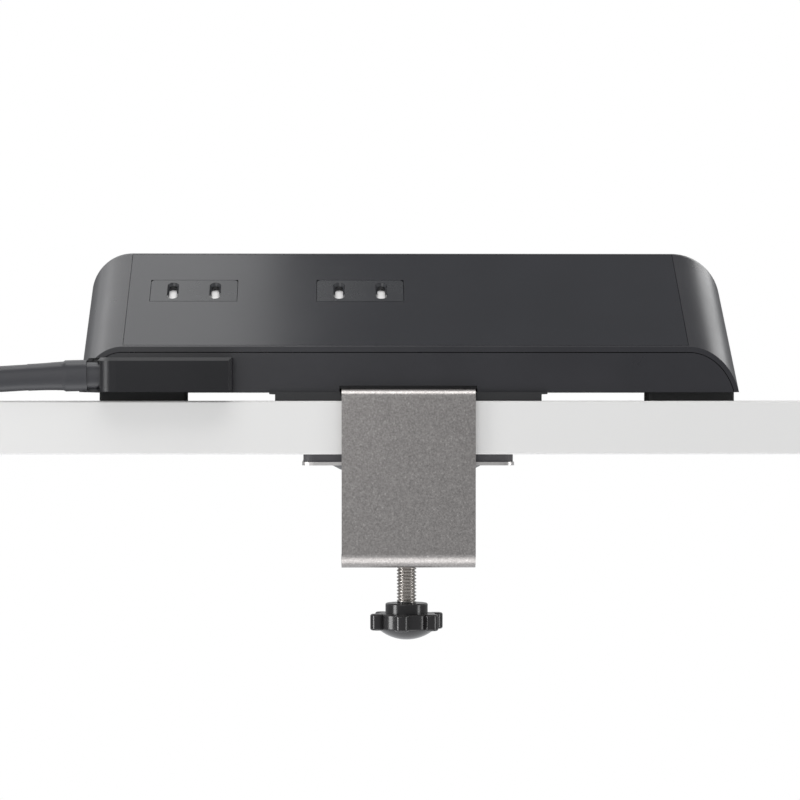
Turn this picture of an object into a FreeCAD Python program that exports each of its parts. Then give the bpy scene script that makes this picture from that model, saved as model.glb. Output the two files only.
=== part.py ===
"""Desk power strip on a clamp: a sloped housing with mains outlets and USB ports, a steel C bracket with a
clamp screw, and a mains cord wound in a coil. Millimetres, +Z up. The origin is where the axis of the
clamp screw meets the plane of the desk top, and +Y points to the user's side of the desk."""

import FreeCAD
import Part
import math
import os

Vector = FreeCAD.Vector
X_AXIS, Y_AXIS, Z_AXIS = Vector(1, 0, 0), Vector(0, 1, 0), Vector(0, 0, 1)

# Housing
housing_length = 193.9
housing_x = 0.7
housing_bottom = 2.55
rear_lip_height = 15.85
top_height = 45.3
rear_slope = 33.6
user_slope = 57.0
top_flat = 15.0
left_end_radius = 12.7
right_end_radius = 15.3
ridge_radius = 2.5
skin = 1.3
base_wall = 2.0
parting_gap = 0.2
panel_thickness = 0.8
panel_rim = 0.7
panel_gap = 0.15
doubler = 1.1
doubler_margin = 5.0

# Where the housing stands
desk_edge = -24.0
rear_setback = 2.0
foot_length = 25.4
foot_width = 13.0
user_foot_length = 19.0
left_foot_x = -77.9
right_foot_x = 83.5
foot_inset = 4.0

# Screws that hold the skin on the base
screw_inset = 9.6
screw_front = 27.0
screw_back = 48.0
pillar_radius = 3.4
shank_radius = 1.5
head_radius = 2.8
head_height = 1.6
head_sink = 0.9
hole_clearance = 0.05

# Outlets
outlet_spacing = 50.0
outlet_first_x = -63.9
outlet_up_rear = 31.3
outlet_up_user = 18.0
insert_length = 26.0
insert_width = 12.0
insert_gap = 0.15
insert_corner = 1.2
blade_spacing = 12.7
throat_width = 2.3
throat_length = 7.8
lead_in_width = 3.4
lead_in_length = 9.2
lead_in_depth = 0.9
throat_depth = 2.2
flange_margin = 1.5
carrier_depth = 5.2
shutter_length = 20.4
shutter_width = 9.2
shutter_thickness = 1.3
shutter_travel = 3.0
shutter_window = 2.6
spring_radius = 1.15
spring_wire = 0.3
block_depth = 15.5
contact_gap = 1.3
contact_metal = 0.5
contact_width = 6.6
bus_width = 4.0
bus_metal = 0.8

# USB charger
usb_positions = (34.0, 56.0)
usb_width = 13.1
usb_height = 5.7
usb_depth = 14.0
usb_metal = 0.35
board_length = 50.0
board_depth = 26.0
board_thickness = 1.6

# Cord entry cover
cover_left = -90.8
cover_length = 39.4
cover_reach = 8.0
cover_top = 12.6
cover_wall = 1.4
cover_roof = 0.9
cover_corner = 6.0
cover_bevel = 1.0
recess_top = 12.5
recess_depth = 4.3

# Clamp
bracket_width = 39.1
bracket_metal = 2.0
bracket_top = 3.5
bracket_drop = 48.8
bracket_top_length = 44.0
bracket_foot_length = 40.0
top_bend = 2.5
bottom_bend = 4.0
notch_gap = 0.65
notch_rise = 0.9
seat_length = 78.0
seat_width = 47.0
seat_floor = 1.5
seat_flange = 1.7
seat_flange_thickness = 0.6
bracket_screw_x = 12.0
bracket_screw_rows = (-13.0, 10.0)
bracket_screw_radius = 2.0
bracket_screw_head = 3.8
bracket_screw_length = 6.0

pad_top = -15.7
pad_length = 61.5
plate_rim = 0.35
pad_width = 45.0
rubber_thickness = 2.2
plate_thickness = 1.0
dome_radius = 23.0
dome_height = 6.2
neck_radius = 2.2
neck_clearance = 0.08
ring_radius = 4.0
ring_thickness = 0.8
swivel_pocket_radius = 5.2
swivel_pocket_depth = 2.6
swivel_play = 0.3

thread_radius = 2.95
thread_depth = 0.55
thread_pitch = 1.0
nut_radius = 6.0
nut_height = 4.5
spigot_radius = 4.2
running_clearance = 0.06
knob_top = -60.2
collar_height = 0.4
collar_radius = 2.9
hub_radius = 6.35
hub_height = 3.1
grip_height = 4.9
grip_radius = 8.7
lobe_circle = 9.3
lobe_radius = 2.2
lobe_count = 6
lobe_turn = 50.0
knob_dome_radius = 8.3
knob_dome_height = 3.0
knob_socket_depth = 7.0

# Cord
cord_diameter = 7.6
lead_radius = 1.2
lead_gap = 0.9
coil_lift = 0.8
coil_middle_radius = 45.4
coil_turns_across = 3.96
coil_pitch = 5.4
coil_layer = 7.8
coil_x = -188.0
coil_y = 31.4
tie_thickness = 0.8
tie_width = 6.0
tie_angle = 75.0
plug_length = 32.0
plug_width = 25.0
plug_thickness = 16.0
blade_length = 17.5
blade_width = 6.3
blade_metal = 1.5
sleeve_length = 14.0

# Worked out from the sizes above
left_end = housing_x - housing_length / 2
right_end = housing_x + housing_length / 2
panel_left = left_end + left_end_radius
panel_right = right_end - right_end_radius
screw_columns = (left_end + screw_inset, right_end - screw_inset)
rear_y = desk_edge + rear_setback
screw_rows = (rear_y + screw_front, rear_y + screw_back)
rear_run = (top_height - rear_lip_height) / math.tan(math.radians(rear_slope))
user_run = (top_height - rear_lip_height) / math.tan(math.radians(user_slope))
user_y = rear_y + rear_run + top_flat + user_run
rear_length = (top_height - rear_lip_height) / math.sin(math.radians(rear_slope))
user_length = (top_height - rear_lip_height) / math.sin(math.radians(user_slope))
floor_top = housing_bottom + base_wall
inside_depth = skin + doubler


def box(x0, x1, y0, y1, z0, z1):
    """A block between two corners."""
    return Part.makeBox(x1 - x0, y1 - y0, z1 - z0, Vector(x0, y0, z0))


def middle_box(length, width, z0, z1, x=0.0, y=0.0):
    """A block whose plan is centred on x, y."""
    return box(x - length / 2, x + length / 2, y - width / 2, y + width / 2, z0, z1)


def post(radius, x, y, z0, z1):
    """An upright cylinder."""
    return Part.makeCylinder(radius, z1 - z0, Vector(x, y, z0), Z_AXIS)


def stadium(width, length, z0, z1, x=0.0, y=0.0):
    """An upright slot with round ends, long along Y."""
    straight = length - width
    shape = middle_box(width, straight, z0, z1, x, y)
    for side in (-1, 1):
        shape = shape.fuse(post(width / 2, x, y + side * straight / 2, z0, z1))
    return shape.removeSplitter()


def upright_edges(shape, x=None, y=None):
    """The edges along Z, on one side if x or y is given."""
    found = []
    for edge in shape.Edges:
        ends = [v.Point for v in edge.Vertexes]
        if len(ends) != 2 or abs(ends[0].z - ends[1].z) < 0.01:
            continue
        same = abs(ends[0].x - ends[1].x) < 0.01 and abs(ends[0].y - ends[1].y) < 0.01
        on_x = x is None or abs(ends[0].x - x) < 0.01
        on_y = y is None or abs(ends[0].y - y) < 0.01
        if same and on_x and on_y:
            found.append(edge)
    return found


def join(shapes):
    """One solid from several that touch or overlap."""
    whole = shapes[0].copy()
    for shape in shapes[1:]:
        whole = whole.fuse(shape)
    return whole.removeSplitter()


def save(name, shape):
    """Write one node and say its size."""
    solids = shape.Solids
    whole = solids[0] if len(solids) == 1 else Part.makeCompound(solids)
    whole.exportStep("parts/" + name + ".step")
    room = whole.BoundBox
    print(name, len(solids), round(whole.Volume, 1), round(room.XLength, 1), round(room.YLength, 1),
          round(room.ZLength, 1))


def on_face(shape, side, up, x=0.0):
    """Place a shape made in a face's own frame: X along the housing, Y up the slope, Z out of the face."""
    slope = rear_slope if side == "rear" else user_slope
    placed = shape.copy()
    placed.translate(Vector(x if side == "rear" else -x, up, 0))
    placed.rotate(Vector(0, 0, 0), X_AXIS, slope)
    if side == "user":
        placed.rotate(Vector(0, 0, 0), Z_AXIS, 180)
    placed.translate(Vector(0, rear_y if side == "rear" else user_y, rear_lip_height))
    return placed


def face_point(side, up, out, x):
    """A point of a face's own frame in the part's frame."""
    slope = math.radians(rear_slope if side == "rear" else user_slope)
    away = 1 if side == "rear" else -1
    y = (rear_y if side == "rear" else user_y) + away * (up * math.cos(slope) - out * math.sin(slope))
    return Vector(x, y, rear_lip_height + up * math.sin(slope) + out * math.cos(slope))


def hull(inset, low, front, back):
    """The housing's outer form, moved inwards by an inset and cut off at a bottom, a front and a back."""
    rear, user = math.radians(rear_slope), math.radians(user_slope)
    top = top_height - inset
    deep = -40.0
    rear_line = rear_y + inset / math.sin(rear) - rear_lip_height / math.tan(rear)
    user_line = user_y - inset / math.sin(user) + rear_lip_height / math.tan(user)
    left, right = left_end + inset, right_end - inset
    outline = [
        Vector(left, rear_line + deep / math.tan(rear), deep),
        Vector(left, rear_line + top / math.tan(rear), top),
        Vector(left, user_line - top / math.tan(user), top),
        Vector(left, user_line - deep / math.tan(user), deep),
    ]
    face = Part.Face(Part.makePolygon(outline + outline[:1]))
    form = face.extrude(Vector(right - left, 0, 0))
    ridges = [e for e in form.Edges if e.BoundBox.ZMin > top - 0.01 and e.BoundBox.YLength < 0.01]
    form = form.makeFillet(ridge_radius, ridges)
    for end, radius in ((left, left_end_radius), (right, right_end_radius)):
        rim = [e for e in form.Edges
               if abs(e.BoundBox.XMin - end) < 0.01 and e.BoundBox.XLength < 0.01 and e.BoundBox.ZMax > deep + 1]
        form = form.makeFillet(radius - inset, rim)
    return form.common(box(left_end - 1, right_end + 1, front, back, low, top_height + 1))


def tube_path(points):
    """A wire of straight runs joined by tangent arcs, as large as the runs allow, and its bend radii."""
    edges, radii, start = [], [], points[0]
    for before, corner, after in zip(points, points[1:], points[2:]):
        run_in, run_out = before - corner, after - corner
        turn = math.pi - run_in.getAngle(run_out)
        short = 0.45 * min(run_in.Length, run_out.Length)
        radii.append(short / math.tan(turn / 2))
        enter = corner + run_in.normalize() * short
        leave = corner + run_out.normalize() * short
        bisector = (run_in + run_out).normalize()
        middle = corner + bisector * (radii[-1] / math.cos(turn / 2) - radii[-1])
        edges.append(Part.LineSegment(start, enter).toShape())
        edges.append(Part.Arc(enter, middle, leave).toShape())
        start = leave
    edges.append(Part.LineSegment(start, points[-1]).toShape())
    return Part.Wire(edges), radii


def tube(name, points, radius):
    """A round tube along a route, with its bend radii and its volume printed."""
    path, radii = tube_path(points)
    ring = Part.Wire(Part.makeCircle(radius, points[0], points[1] - points[0]))
    solid = path.makePipeShell([ring], True, False)
    expected = math.pi * radius ** 2 * path.Length
    print(name, "length", round(path.Length, 1), "radii", [round(r, 1) for r in radii],
          "volume ratio", round(solid.Volume / expected, 4))
    return solid


def outlet_insert():
    """The outlet's face: a plate with two lead-ins and a frame behind it that guides the shutter."""
    plate = middle_box(insert_length, insert_width, -inside_depth, 0)
    frame = middle_box(insert_length + 2 * flange_margin, insert_width + 2 * flange_margin,
                       -carrier_depth, -inside_depth)
    body = plate.fuse(frame)
    body = body.cut(middle_box(insert_length - 1.6, shutter_width + 0.3, -carrier_depth, -throat_depth))
    for side in (-1, 1):
        x = side * blade_spacing / 2
        body = body.cut(stadium(throat_width, throat_length, -throat_depth, 0, x))
        body = body.cut(stadium(lead_in_width, lead_in_length, -lead_in_depth, 0, x))
    body = body.removeSplitter()
    top_corners = [e for e in upright_edges(body, y=insert_width / 2)
                   if abs(abs(e.Vertexes[0].Point.x) - insert_length / 2) < 0.01]
    return body.makeFillet(insert_corner, top_corners)


def shutter():
    """The sliding shutter, closed: its windows stand one travel beside the throats."""
    left = insert_length / 2 - 0.8 - 0.2 - shutter_length
    top = -throat_depth - 0.1
    plate = box(left, left + shutter_length, -shutter_width / 2, shutter_width / 2, top - shutter_thickness, top)
    for side in (-1, 1):
        window = stadium(shutter_window, throat_length + 0.4, top - shutter_thickness, top,
                         side * blade_spacing / 2 + shutter_travel)
        plate = plate.cut(window)
    return plate


def shutter_spring():
    """The compression spring between the frame and the shutter, as a thin tube."""
    right = insert_length / 2 - 0.8 - 0.2 - shutter_length
    left = -insert_length / 2 + 0.8
    height = -throat_depth - 0.1 - spring_radius - 0.1
    outer = Part.makeCylinder(spring_radius, right - left, Vector(left, 0, height), X_AXIS)
    inner = Part.makeCylinder(spring_radius - spring_wire, right - left, Vector(left, 0, height), X_AXIS)
    return outer.cut(inner)


def contact_block():
    """The moulding behind the shutter, with a chamber for each contact."""
    block = middle_box(insert_length + 2 * flange_margin, insert_width + 2 * flange_margin,
                       -block_depth, -carrier_depth)
    for side in (-1, 1):
        x = side * blade_spacing / 2
        block = block.cut(middle_box(contact_gap + 2 * contact_metal + 0.8, contact_width + 1.2,
                                     -block_depth, -carrier_depth, x))
    return block.removeSplitter()


def bus(side_of_slot, up):
    """One pole's bar with a pair of spring leaves in each outlet, in the face's own frame."""
    across = side_of_slot * bus_width
    pieces = [box(-blade_spacing / 2 - 2, outlet_spacing + blade_spacing / 2 + 2,
                  across - bus_width / 2 + 0.3, across + bus_width / 2 - 0.3,
                  -block_depth - bus_metal, -block_depth)]
    for place in (0.0, outlet_spacing):
        x = place + side_of_slot * blade_spacing / 2
        half_gap = contact_gap / 2
        for leaf in (-1, 1):
            inner, outer = sorted((leaf * half_gap, leaf * (half_gap + contact_metal)))
            pieces.append(box(x + inner, x + outer, -contact_width / 2, contact_width / 2,
                              -block_depth, -carrier_depth - 1.5))
        low, high = sorted((side_of_slot * 0.5, side_of_slot * contact_width / 2))
        pieces.append(box(x - half_gap - contact_metal, x + half_gap + contact_metal, low, high,
                          -block_depth, -block_depth + contact_metal))
    bar = join(pieces)
    bar.translate(Vector(0, up, 0))
    return bar


def housing():
    """The base tray, the skin over it and the two inlaid panels."""
    outside = hull(0.0, housing_bottom, rear_y, user_y)
    hollow = hull(skin, housing_bottom - 1, rear_y - 1, user_y + 1)
    shell = outside.cut(hollow)
    panels = {}
    for side, length in (("rear", rear_length), ("user", user_length)):
        left, right = (panel_left, panel_right) if side == "rear" else (-panel_right, -panel_left)
        thick = box(left + 1, right - 1, doubler_margin, length - doubler_margin, -inside_depth, -skin + 0.01)
        shell = shell.fuse(on_face(thick, side, 0))
        pocket = box(left, right, panel_rim, length - panel_rim, -panel_thickness, 1)
        shell = shell.cut(on_face(pocket, side, 0))
        panels[side] = box(left + panel_gap, right - panel_gap, panel_rim + panel_gap,
                           length - panel_rim - panel_gap, -panel_thickness, 0)
    for side, up in (("rear", outlet_up_rear), ("user", outlet_up_user)):
        for number in (0, 1):
            place = outlet_first_x + number * outlet_spacing
            x = place if side == "rear" else -place
            hole = middle_box(insert_length + 2 * insert_gap, insert_width + 2 * insert_gap, -5, 1, x, up)
            panels[side] = panels[side].cut(hole)
            shell = shell.cut(on_face(hole, side, 0))
    for place in usb_positions:
        hole = middle_box(usb_width + 2 * insert_gap, usb_height + 2 * insert_gap, -5, 1, -place, outlet_up_user)
        panels["user"] = panels["user"].cut(hole)
        shell = shell.cut(on_face(hole, "user", 0))
    room = hull(skin - 0.1, floor_top + parting_gap, rear_y + 4, user_y - 4)
    for x in screw_columns:
        for y in screw_rows:
            shell = shell.fuse(post(pillar_radius, x, y, floor_top + parting_gap, top_height).common(room))
    for x in screw_columns:
        for y in screw_rows:
            shell = shell.cut(post(shank_radius + hole_clearance, x, y, 0, floor_top + 9.5))

    inner = skin + parting_gap
    part_line = rear_lip_height - inner / math.cos(math.radians(rear_slope))
    tray = hull(inner, housing_bottom, rear_y, user_y)
    tray = tray.common(box(-200, 200, -200, 200, housing_bottom, part_line))
    cavity = hull(inner + base_wall, floor_top, rear_y + base_wall, user_y - base_wall)
    tray = tray.cut(cavity)
    tray = tray.fuse(middle_box(bracket_width + 8, bracket_top_length, housing_bottom, bracket_top + 2.5,
                                0, rear_y + bracket_top_length / 2 + 0.5).cut(
        box(-100, 100, -100, rear_y + 0.01, -10, 100)))
    slot_half = bracket_width / 2 + notch_gap
    tray = tray.cut(box(-slot_half, slot_half, rear_y - 1, desk_edge + bracket_top_length, 0, bracket_top + 0.1))
    tray = tray.cut(box(-slot_half, slot_half, rear_y - 1, rear_y + base_wall, 0, bracket_top + notch_rise))
    for x in (-bracket_screw_x, bracket_screw_x):
        for y in bracket_screw_rows:
            boss = post(bracket_screw_radius + 2, x, y, bracket_top + 0.1, bracket_top + bracket_screw_length + 1)
            tray = tray.fuse(boss)
            tray = tray.cut(post(bracket_screw_radius + hole_clearance, x, y, bracket_top,
                                 bracket_top + bracket_screw_length - 1))
    for x in screw_columns:
        for y in screw_rows:
            tray = tray.cut(post(shank_radius + hole_clearance, x, y, 0, floor_top + 1))
            tray = tray.cut(post(head_radius + 0.2, x, y, 0, housing_bottom + head_sink))

    wall = box(left_end + 3, cover_left + cover_length, rear_y + recess_depth, rear_y + recess_depth + 1.5,
               housing_bottom + 0.5, part_line)
    tray = tray.fuse(wall.common(hull(inner, housing_bottom, rear_y, user_y)))
    recess = box(left_end - 1, cover_left + cover_length - 2, rear_y - 1, rear_y + recess_depth,
                 floor_top - 1.0, recess_top)
    tray = tray.cut(recess)
    tray = tray.cut(box(cover_left + cover_length - 10, cover_left + cover_length - 3, rear_y, rear_y + 8,
                        floor_top - 0.5, recess_top - 0.6))
    end_cut = box(left_end - 1, cover_left + 3, rear_y - 1, rear_y + recess_depth, floor_top - 1.0, recess_top)
    shell = shell.cut(end_cut)

    screws = []
    head_seat = housing_bottom + head_sink
    for x in screw_columns:
        for y in screw_rows:
            shank = post(shank_radius, x, y, head_seat, floor_top + 9)
            screws.append(shank.fuse(post(head_radius, x, y, head_seat - head_height, head_seat)))
    save("top_shell", shell.removeSplitter())
    save("base_housing", tray.removeSplitter())
    save("shell_screws", Part.makeCompound(screws))
    save("rear_panel", on_face(panels["rear"].removeSplitter(), "rear", 0))
    save("user_panel", on_face(panels["user"].removeSplitter(), "user", 0))


def feet():
    """Four rubber pads under the base."""
    for name, x in (("left", left_foot_x), ("right", right_foot_x)):
        outer = -1 if name == "left" else 1
        for row, length, y in (("rear", foot_length, rear_y + foot_inset + foot_width / 2),
                               ("user", user_foot_length, user_y - foot_inset - foot_width / 2)):
            middle = x + outer * (foot_length - length) / 2
            pad = middle_box(length, foot_width, 0, housing_bottom, middle, y)
            save("foot_" + row + "_" + name, pad.makeFillet(1.0, upright_edges(pad)))


def outlets():
    """Two outlets on each sloped face, and the bars that feed each pair."""
    for side, up in (("rear", outlet_up_rear), ("user", outlet_up_user)):
        for number, name in ((0, "left"), (1, "right")):
            x = outlet_first_x + number * outlet_spacing
            for node, shape in (("outlet_face", outlet_insert()), ("shutter", shutter()),
                                ("shutter_spring", shutter_spring()), ("contact_block", contact_block())):
                save(node + "_" + side + "_" + name, on_face(shape, side, up, x))
        first = outlet_first_x if side == "rear" else outlet_first_x + outlet_spacing
        for pole, slot in (("live", 1), ("neutral", -1)):
            save(pole + "_bus_" + side, on_face(bus(slot, up), side, 0, first))


def charger():
    """The USB charger: two sockets on a board behind the user's face."""
    up = outlet_up_user
    for number, x in enumerate(usb_positions):
        outer = middle_box(usb_width, usb_height, -usb_depth, 0)
        inner = middle_box(usb_width - 2 * usb_metal, usb_height - 2 * usb_metal, -usb_depth + usb_metal, 0)
        save("usb_shell_" + "ab"[number], on_face(outer.cut(inner), "user", up, x))
        core = middle_box(usb_width - 2 * usb_metal, usb_height - 2 * usb_metal, -usb_depth + usb_metal, -8.8)
        tongue = box(-usb_width / 2 + 1.0, usb_width / 2 - 1.0, 0.2, 2.0, -8.8, -0.8)
        save("usb_tongue_" + "ab"[number], on_face(core.fuse(tongue), "user", up, x))
    middle = sum(usb_positions) / len(usb_positions)
    board_low = -usb_height / 2 - board_thickness
    board = box(-board_length / 2, board_length / 2, board_low, board_low + board_thickness,
                -4 - board_depth, -4)
    save("usb_board", on_face(board, "user", up, middle))
    core = box(-8, 8, board_low + board_thickness, board_low + board_thickness + 11, -28, -16)
    save("usb_transformer", on_face(core, "user", up, middle))
    cans = []
    for x in (-18, 17):
        cans.append(Part.makeCylinder(4, 9, Vector(x, board_low + board_thickness, -23), Y_AXIS))
    save("usb_capacitors", on_face(Part.makeCompound(cans), "user", up, middle))


def cord_entry():
    """The cover over the cord's entry at the rear left, and the grommet inside it."""
    front = rear_y - cover_reach
    cover = box(cover_left, cover_left + cover_length, front, rear_y, housing_bottom + 0.1, cover_top)
    cover = cover.makeFillet(cover_corner, upright_edges(cover, x=cover_left, y=front))
    right = upright_edges(cover, x=cover_left + cover_length, y=front)
    cover = cover.makeChamfer(cover_bevel, right)
    top = [e for e in cover.Edges
           if e.BoundBox.ZMin > cover_top - 0.01 and e.BoundBox.YMin < front + 0.01 and e.BoundBox.XLength > 10]
    cover = cover.makeChamfer(cover_bevel, top)
    hollow = box(cover_left - 1, cover_left + cover_length - cover_wall, front + cover_wall, rear_y,
                 housing_bottom + cover_roof, cover_top - cover_roof)
    mouth = box(cover_left - 1, cover_left + cover_wall, rear_y - 5.7, rear_y,
                housing_bottom + cover_roof, cover_top - cover_roof)
    corner = box(cover_left - 1, cover_left + cover_corner, front, rear_y - 5.7, 0, top_height)
    cover = cover.cut(hollow.cut(corner)).cut(mouth)
    save("cord_entry_cover", cover)
    grommet = box(cover_left + 1.0, cover_left + 9, rear_y - 5.6, rear_y + recess_depth - 0.3,
                  floor_top - 0.9, cover_top - 1.0)
    bore = tube("grommet bore", cord_route(), cord_diameter / 2)
    save("cord_grommet", grommet.cut(bore))


def clamp():
    """The C bracket and what is fixed to it."""
    outer_y = desk_edge - bracket_metal
    low = -bracket_drop
    half = bracket_width / 2
    outside = box(-half, half, outer_y, desk_edge + bracket_top_length, low, bracket_top)
    inside = box(-half - 1, half + 1, desk_edge, desk_edge + bracket_top_length + 1,
                 low + bracket_metal, bracket_top - bracket_metal)
    bracket = outside.cut(inside)
    bracket = bracket.cut(box(-half - 1, half + 1, desk_edge + bracket_foot_length,
                              desk_edge + bracket_top_length + 1, low - 1, low + bracket_metal + 1))

    def bend(y, z):
        return [e for e in bracket.Edges
                if e.BoundBox.XLength > bracket_width - 0.1
                and abs(e.BoundBox.YMin - y) < 0.01 and abs(e.BoundBox.ZMin - z) < 0.01]

    bracket = bracket.makeFillet(top_bend, bend(outer_y, bracket_top))
    bracket = bracket.makeFillet(bottom_bend, bend(outer_y, low))
    bracket = bracket.makeFillet(bottom_bend - bracket_metal, bend(desk_edge, low + bracket_metal))
    bracket = bracket.makeFillet(top_bend - bracket_metal, bend(desk_edge, bracket_top - bracket_metal))
    bracket = bracket.cut(post(spigot_radius + hole_clearance, 0, 0, low - 1, low + bracket_metal + 1))
    screws = []
    for x in (-bracket_screw_x, bracket_screw_x):
        for y in bracket_screw_rows:
            under = bracket_top - bracket_metal
            cone = Part.makeCone(bracket_screw_head, bracket_screw_radius, bracket_metal - 0.1,
                                 Vector(x, y, under), Z_AXIS)
            shank = post(bracket_screw_radius, x, y, under + 0.5, bracket_top + bracket_screw_length - 1.2)
            screws.append(cone.fuse(shank).removeSplitter())
            hole = post(bracket_screw_radius + hole_clearance, x, y, under - 1, bracket_top + 1)
            sink = Part.makeCone(bracket_screw_head + hole_clearance, bracket_screw_radius + hole_clearance,
                                 bracket_metal - 0.1, Vector(x, y, under), Z_AXIS)
            bracket = bracket.cut(hole).cut(sink)
    save("clamp_bracket", bracket.removeSplitter())
    save("bracket_screws", Part.makeCompound(screws))

    front = desk_edge + 1.0
    top = housing_bottom
    plate = box(-seat_length / 2, seat_length / 2, front, front + seat_width, 0, top)
    plate = plate.makeFillet(3.0, upright_edges(plate, y=front + seat_width))
    rim = box(-seat_length / 2 - seat_flange, seat_length / 2 + seat_flange, front, front + seat_width,
              top - seat_flange_thickness, top)
    plate = plate.fuse(rim).removeSplitter()
    slot_half = half + notch_gap / 2
    plate = plate.cut(box(-slot_half, slot_half, front - 1, desk_edge + bracket_top_length + 0.2, seat_floor, top))
    save("clamp_seat_plate", plate)

    nut = post(nut_radius, 0, 0, low + bracket_metal, low + bracket_metal + nut_height)
    nut = nut.makeChamfer(0.5, [e for e in nut.Edges if e.BoundBox.ZMin > low + bracket_metal + nut_height - 0.01])
    nut = nut.fuse(post(spigot_radius, 0, 0, low, low + bracket_metal))
    nut = nut.cut(post(thread_radius + running_clearance, 0, 0, low - 1, low + bracket_metal + nut_height + 1))
    save("clinch_nut", nut.removeSplitter())


def pressure_jaw():
    """The rubber-faced plate and the dome under it that the screw turns in."""
    rubber_under = pad_top - rubber_thickness
    plate_under = rubber_under - plate_thickness
    rubber = middle_box(pad_length, pad_width, rubber_under, pad_top)
    save("pressure_pad", rubber.makeFillet(3.0, upright_edges(rubber)))
    plate = middle_box(pad_length + 2 * plate_rim, pad_width + 2 * plate_rim, plate_under, rubber_under)
    save("pressure_plate", plate.makeFillet(3.2, upright_edges(plate)))
    ball_radius = (dome_radius ** 2 + dome_height ** 2) / (2 * dome_height)
    ball = Part.makeSphere(ball_radius, Vector(0, 0, plate_under - dome_height + ball_radius))
    dome = ball.common(post(dome_radius + 1, 0, 0, plate_under - dome_height - 1, plate_under))
    dome = dome.cut(post(neck_radius + neck_clearance, 0, 0, plate_under - dome_height - 1, plate_under))
    dome = dome.cut(post(swivel_pocket_radius, 0, 0, plate_under - swivel_pocket_depth, plate_under))
    save("swivel_dome", dome)
    return plate_under


def clamp_screw(plate_under):
    """The screw, its retaining ring and the lobed knob."""
    shoulder = plate_under - dome_height - swivel_play
    neck_top = plate_under - 0.1
    ring_low = plate_under - swivel_pocket_depth + swivel_play
    root = thread_radius - thread_depth
    turns = int((shoulder - knob_top) / thread_pitch) - 1
    outline = [Vector(0, 0, neck_top), Vector(neck_radius, 0, neck_top), Vector(neck_radius, 0, shoulder),
               Vector(root, 0, shoulder)]
    for turn in range(turns):
        z = shoulder - turn * thread_pitch
        outline.append(Vector(thread_radius, 0, z - thread_pitch / 2))
        outline.append(Vector(root, 0, z - thread_pitch))
    outline.append(Vector(root, 0, knob_top - knob_socket_depth + 0.2))
    outline.append(Vector(0, 0, knob_top - knob_socket_depth + 0.2))
    outline.append(outline[0])
    rod = Part.Face(Part.makePolygon(outline)).revolve(Vector(0, 0, 0), Z_AXIS, 360)
    groove = post(neck_radius + 1, 0, 0, ring_low, ring_low + ring_thickness)
    groove = groove.cut(post(neck_radius - 0.5, 0, 0, ring_low, ring_low + ring_thickness))
    save("clamp_screw", rod.cut(groove))
    ring = post(ring_radius, 0, 0, ring_low + 0.02, ring_low + ring_thickness - 0.02)
    ring = ring.cut(post(neck_radius - 0.45, 0, 0, ring_low, ring_low + ring_thickness))
    ring = ring.cut(box(-1.3, 1.3, 0, ring_radius + 1, ring_low - 1, ring_low + ring_thickness + 1))
    save("retaining_ring", ring)

    hub_top = knob_top - collar_height
    grip_top = hub_top - hub_height
    grip_low = grip_top - grip_height
    collar = post(collar_radius, 0, 0, hub_top, knob_top)
    hub = post(hub_radius, 0, 0, grip_top, hub_top)
    hub = hub.makeFillet(0.5, [e for e in hub.Edges if e.BoundBox.ZMin > hub_top - 0.01])
    grip = post(grip_radius, 0, 0, grip_low, grip_top)
    for number in range(lobe_count):
        angle = math.radians(lobe_turn + number * 360.0 / lobe_count)
        grip = grip.fuse(post(lobe_radius, lobe_circle * math.sin(angle), -lobe_circle * math.cos(angle),
                              grip_low, grip_top))
    grip = grip.removeSplitter()
    grip = grip.makeFillet(0.6, [e for e in grip.Edges if e.BoundBox.ZLength < 0.01])
    ball_radius = (knob_dome_radius ** 2 + knob_dome_height ** 2) / (2 * knob_dome_height)
    ball = Part.makeSphere(ball_radius, Vector(0, 0, grip_low - knob_dome_height + ball_radius))
    cap = ball.common(post(knob_dome_radius + 1, 0, 0, grip_low - knob_dome_height - 1, grip_low))
    knob = join([collar, hub, grip, cap])
    knob = knob.cut(post(root + 0.03, 0, 0, knob_top - knob_socket_depth, knob_top + 1))
    save("clamp_knob", knob)


def cord_route():
    """The route of the cord from inside its cover to where it meets the coil."""
    y = rear_y - 1.7
    return [
        Vector(-70.0, y, 7.4),
        Vector(-97.0, y, 7.7),
        Vector(-125.0, y + 0.2, 5.9),
        Vector(-157.0, y + 1.2, 5.0),
        Vector(coil_x, coil_y - coil_middle_radius - (coil_turns_across - 1) / 2 * coil_pitch,
               coil_lift + cord_diameter / 2),
    ]


def tail_route():
    """The route of the cord's last stretch, from the coil's top to the plug that lies on it."""
    high = coil_lift + cord_diameter / 2 + coil_layer
    rest = coil_lift + cord_diameter + coil_layer + plug_thickness / 2
    return [
        Vector(coil_x - 6.5, coil_y - 53.1, high),
        Vector(coil_x - 32.0, coil_y - 41.0, (high + rest) / 2),
        Vector(coil_x - 46.9, coil_y - 14.3, rest),
        Vector(coil_x - 44.9, coil_y + 13.7, rest),
    ]


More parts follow.
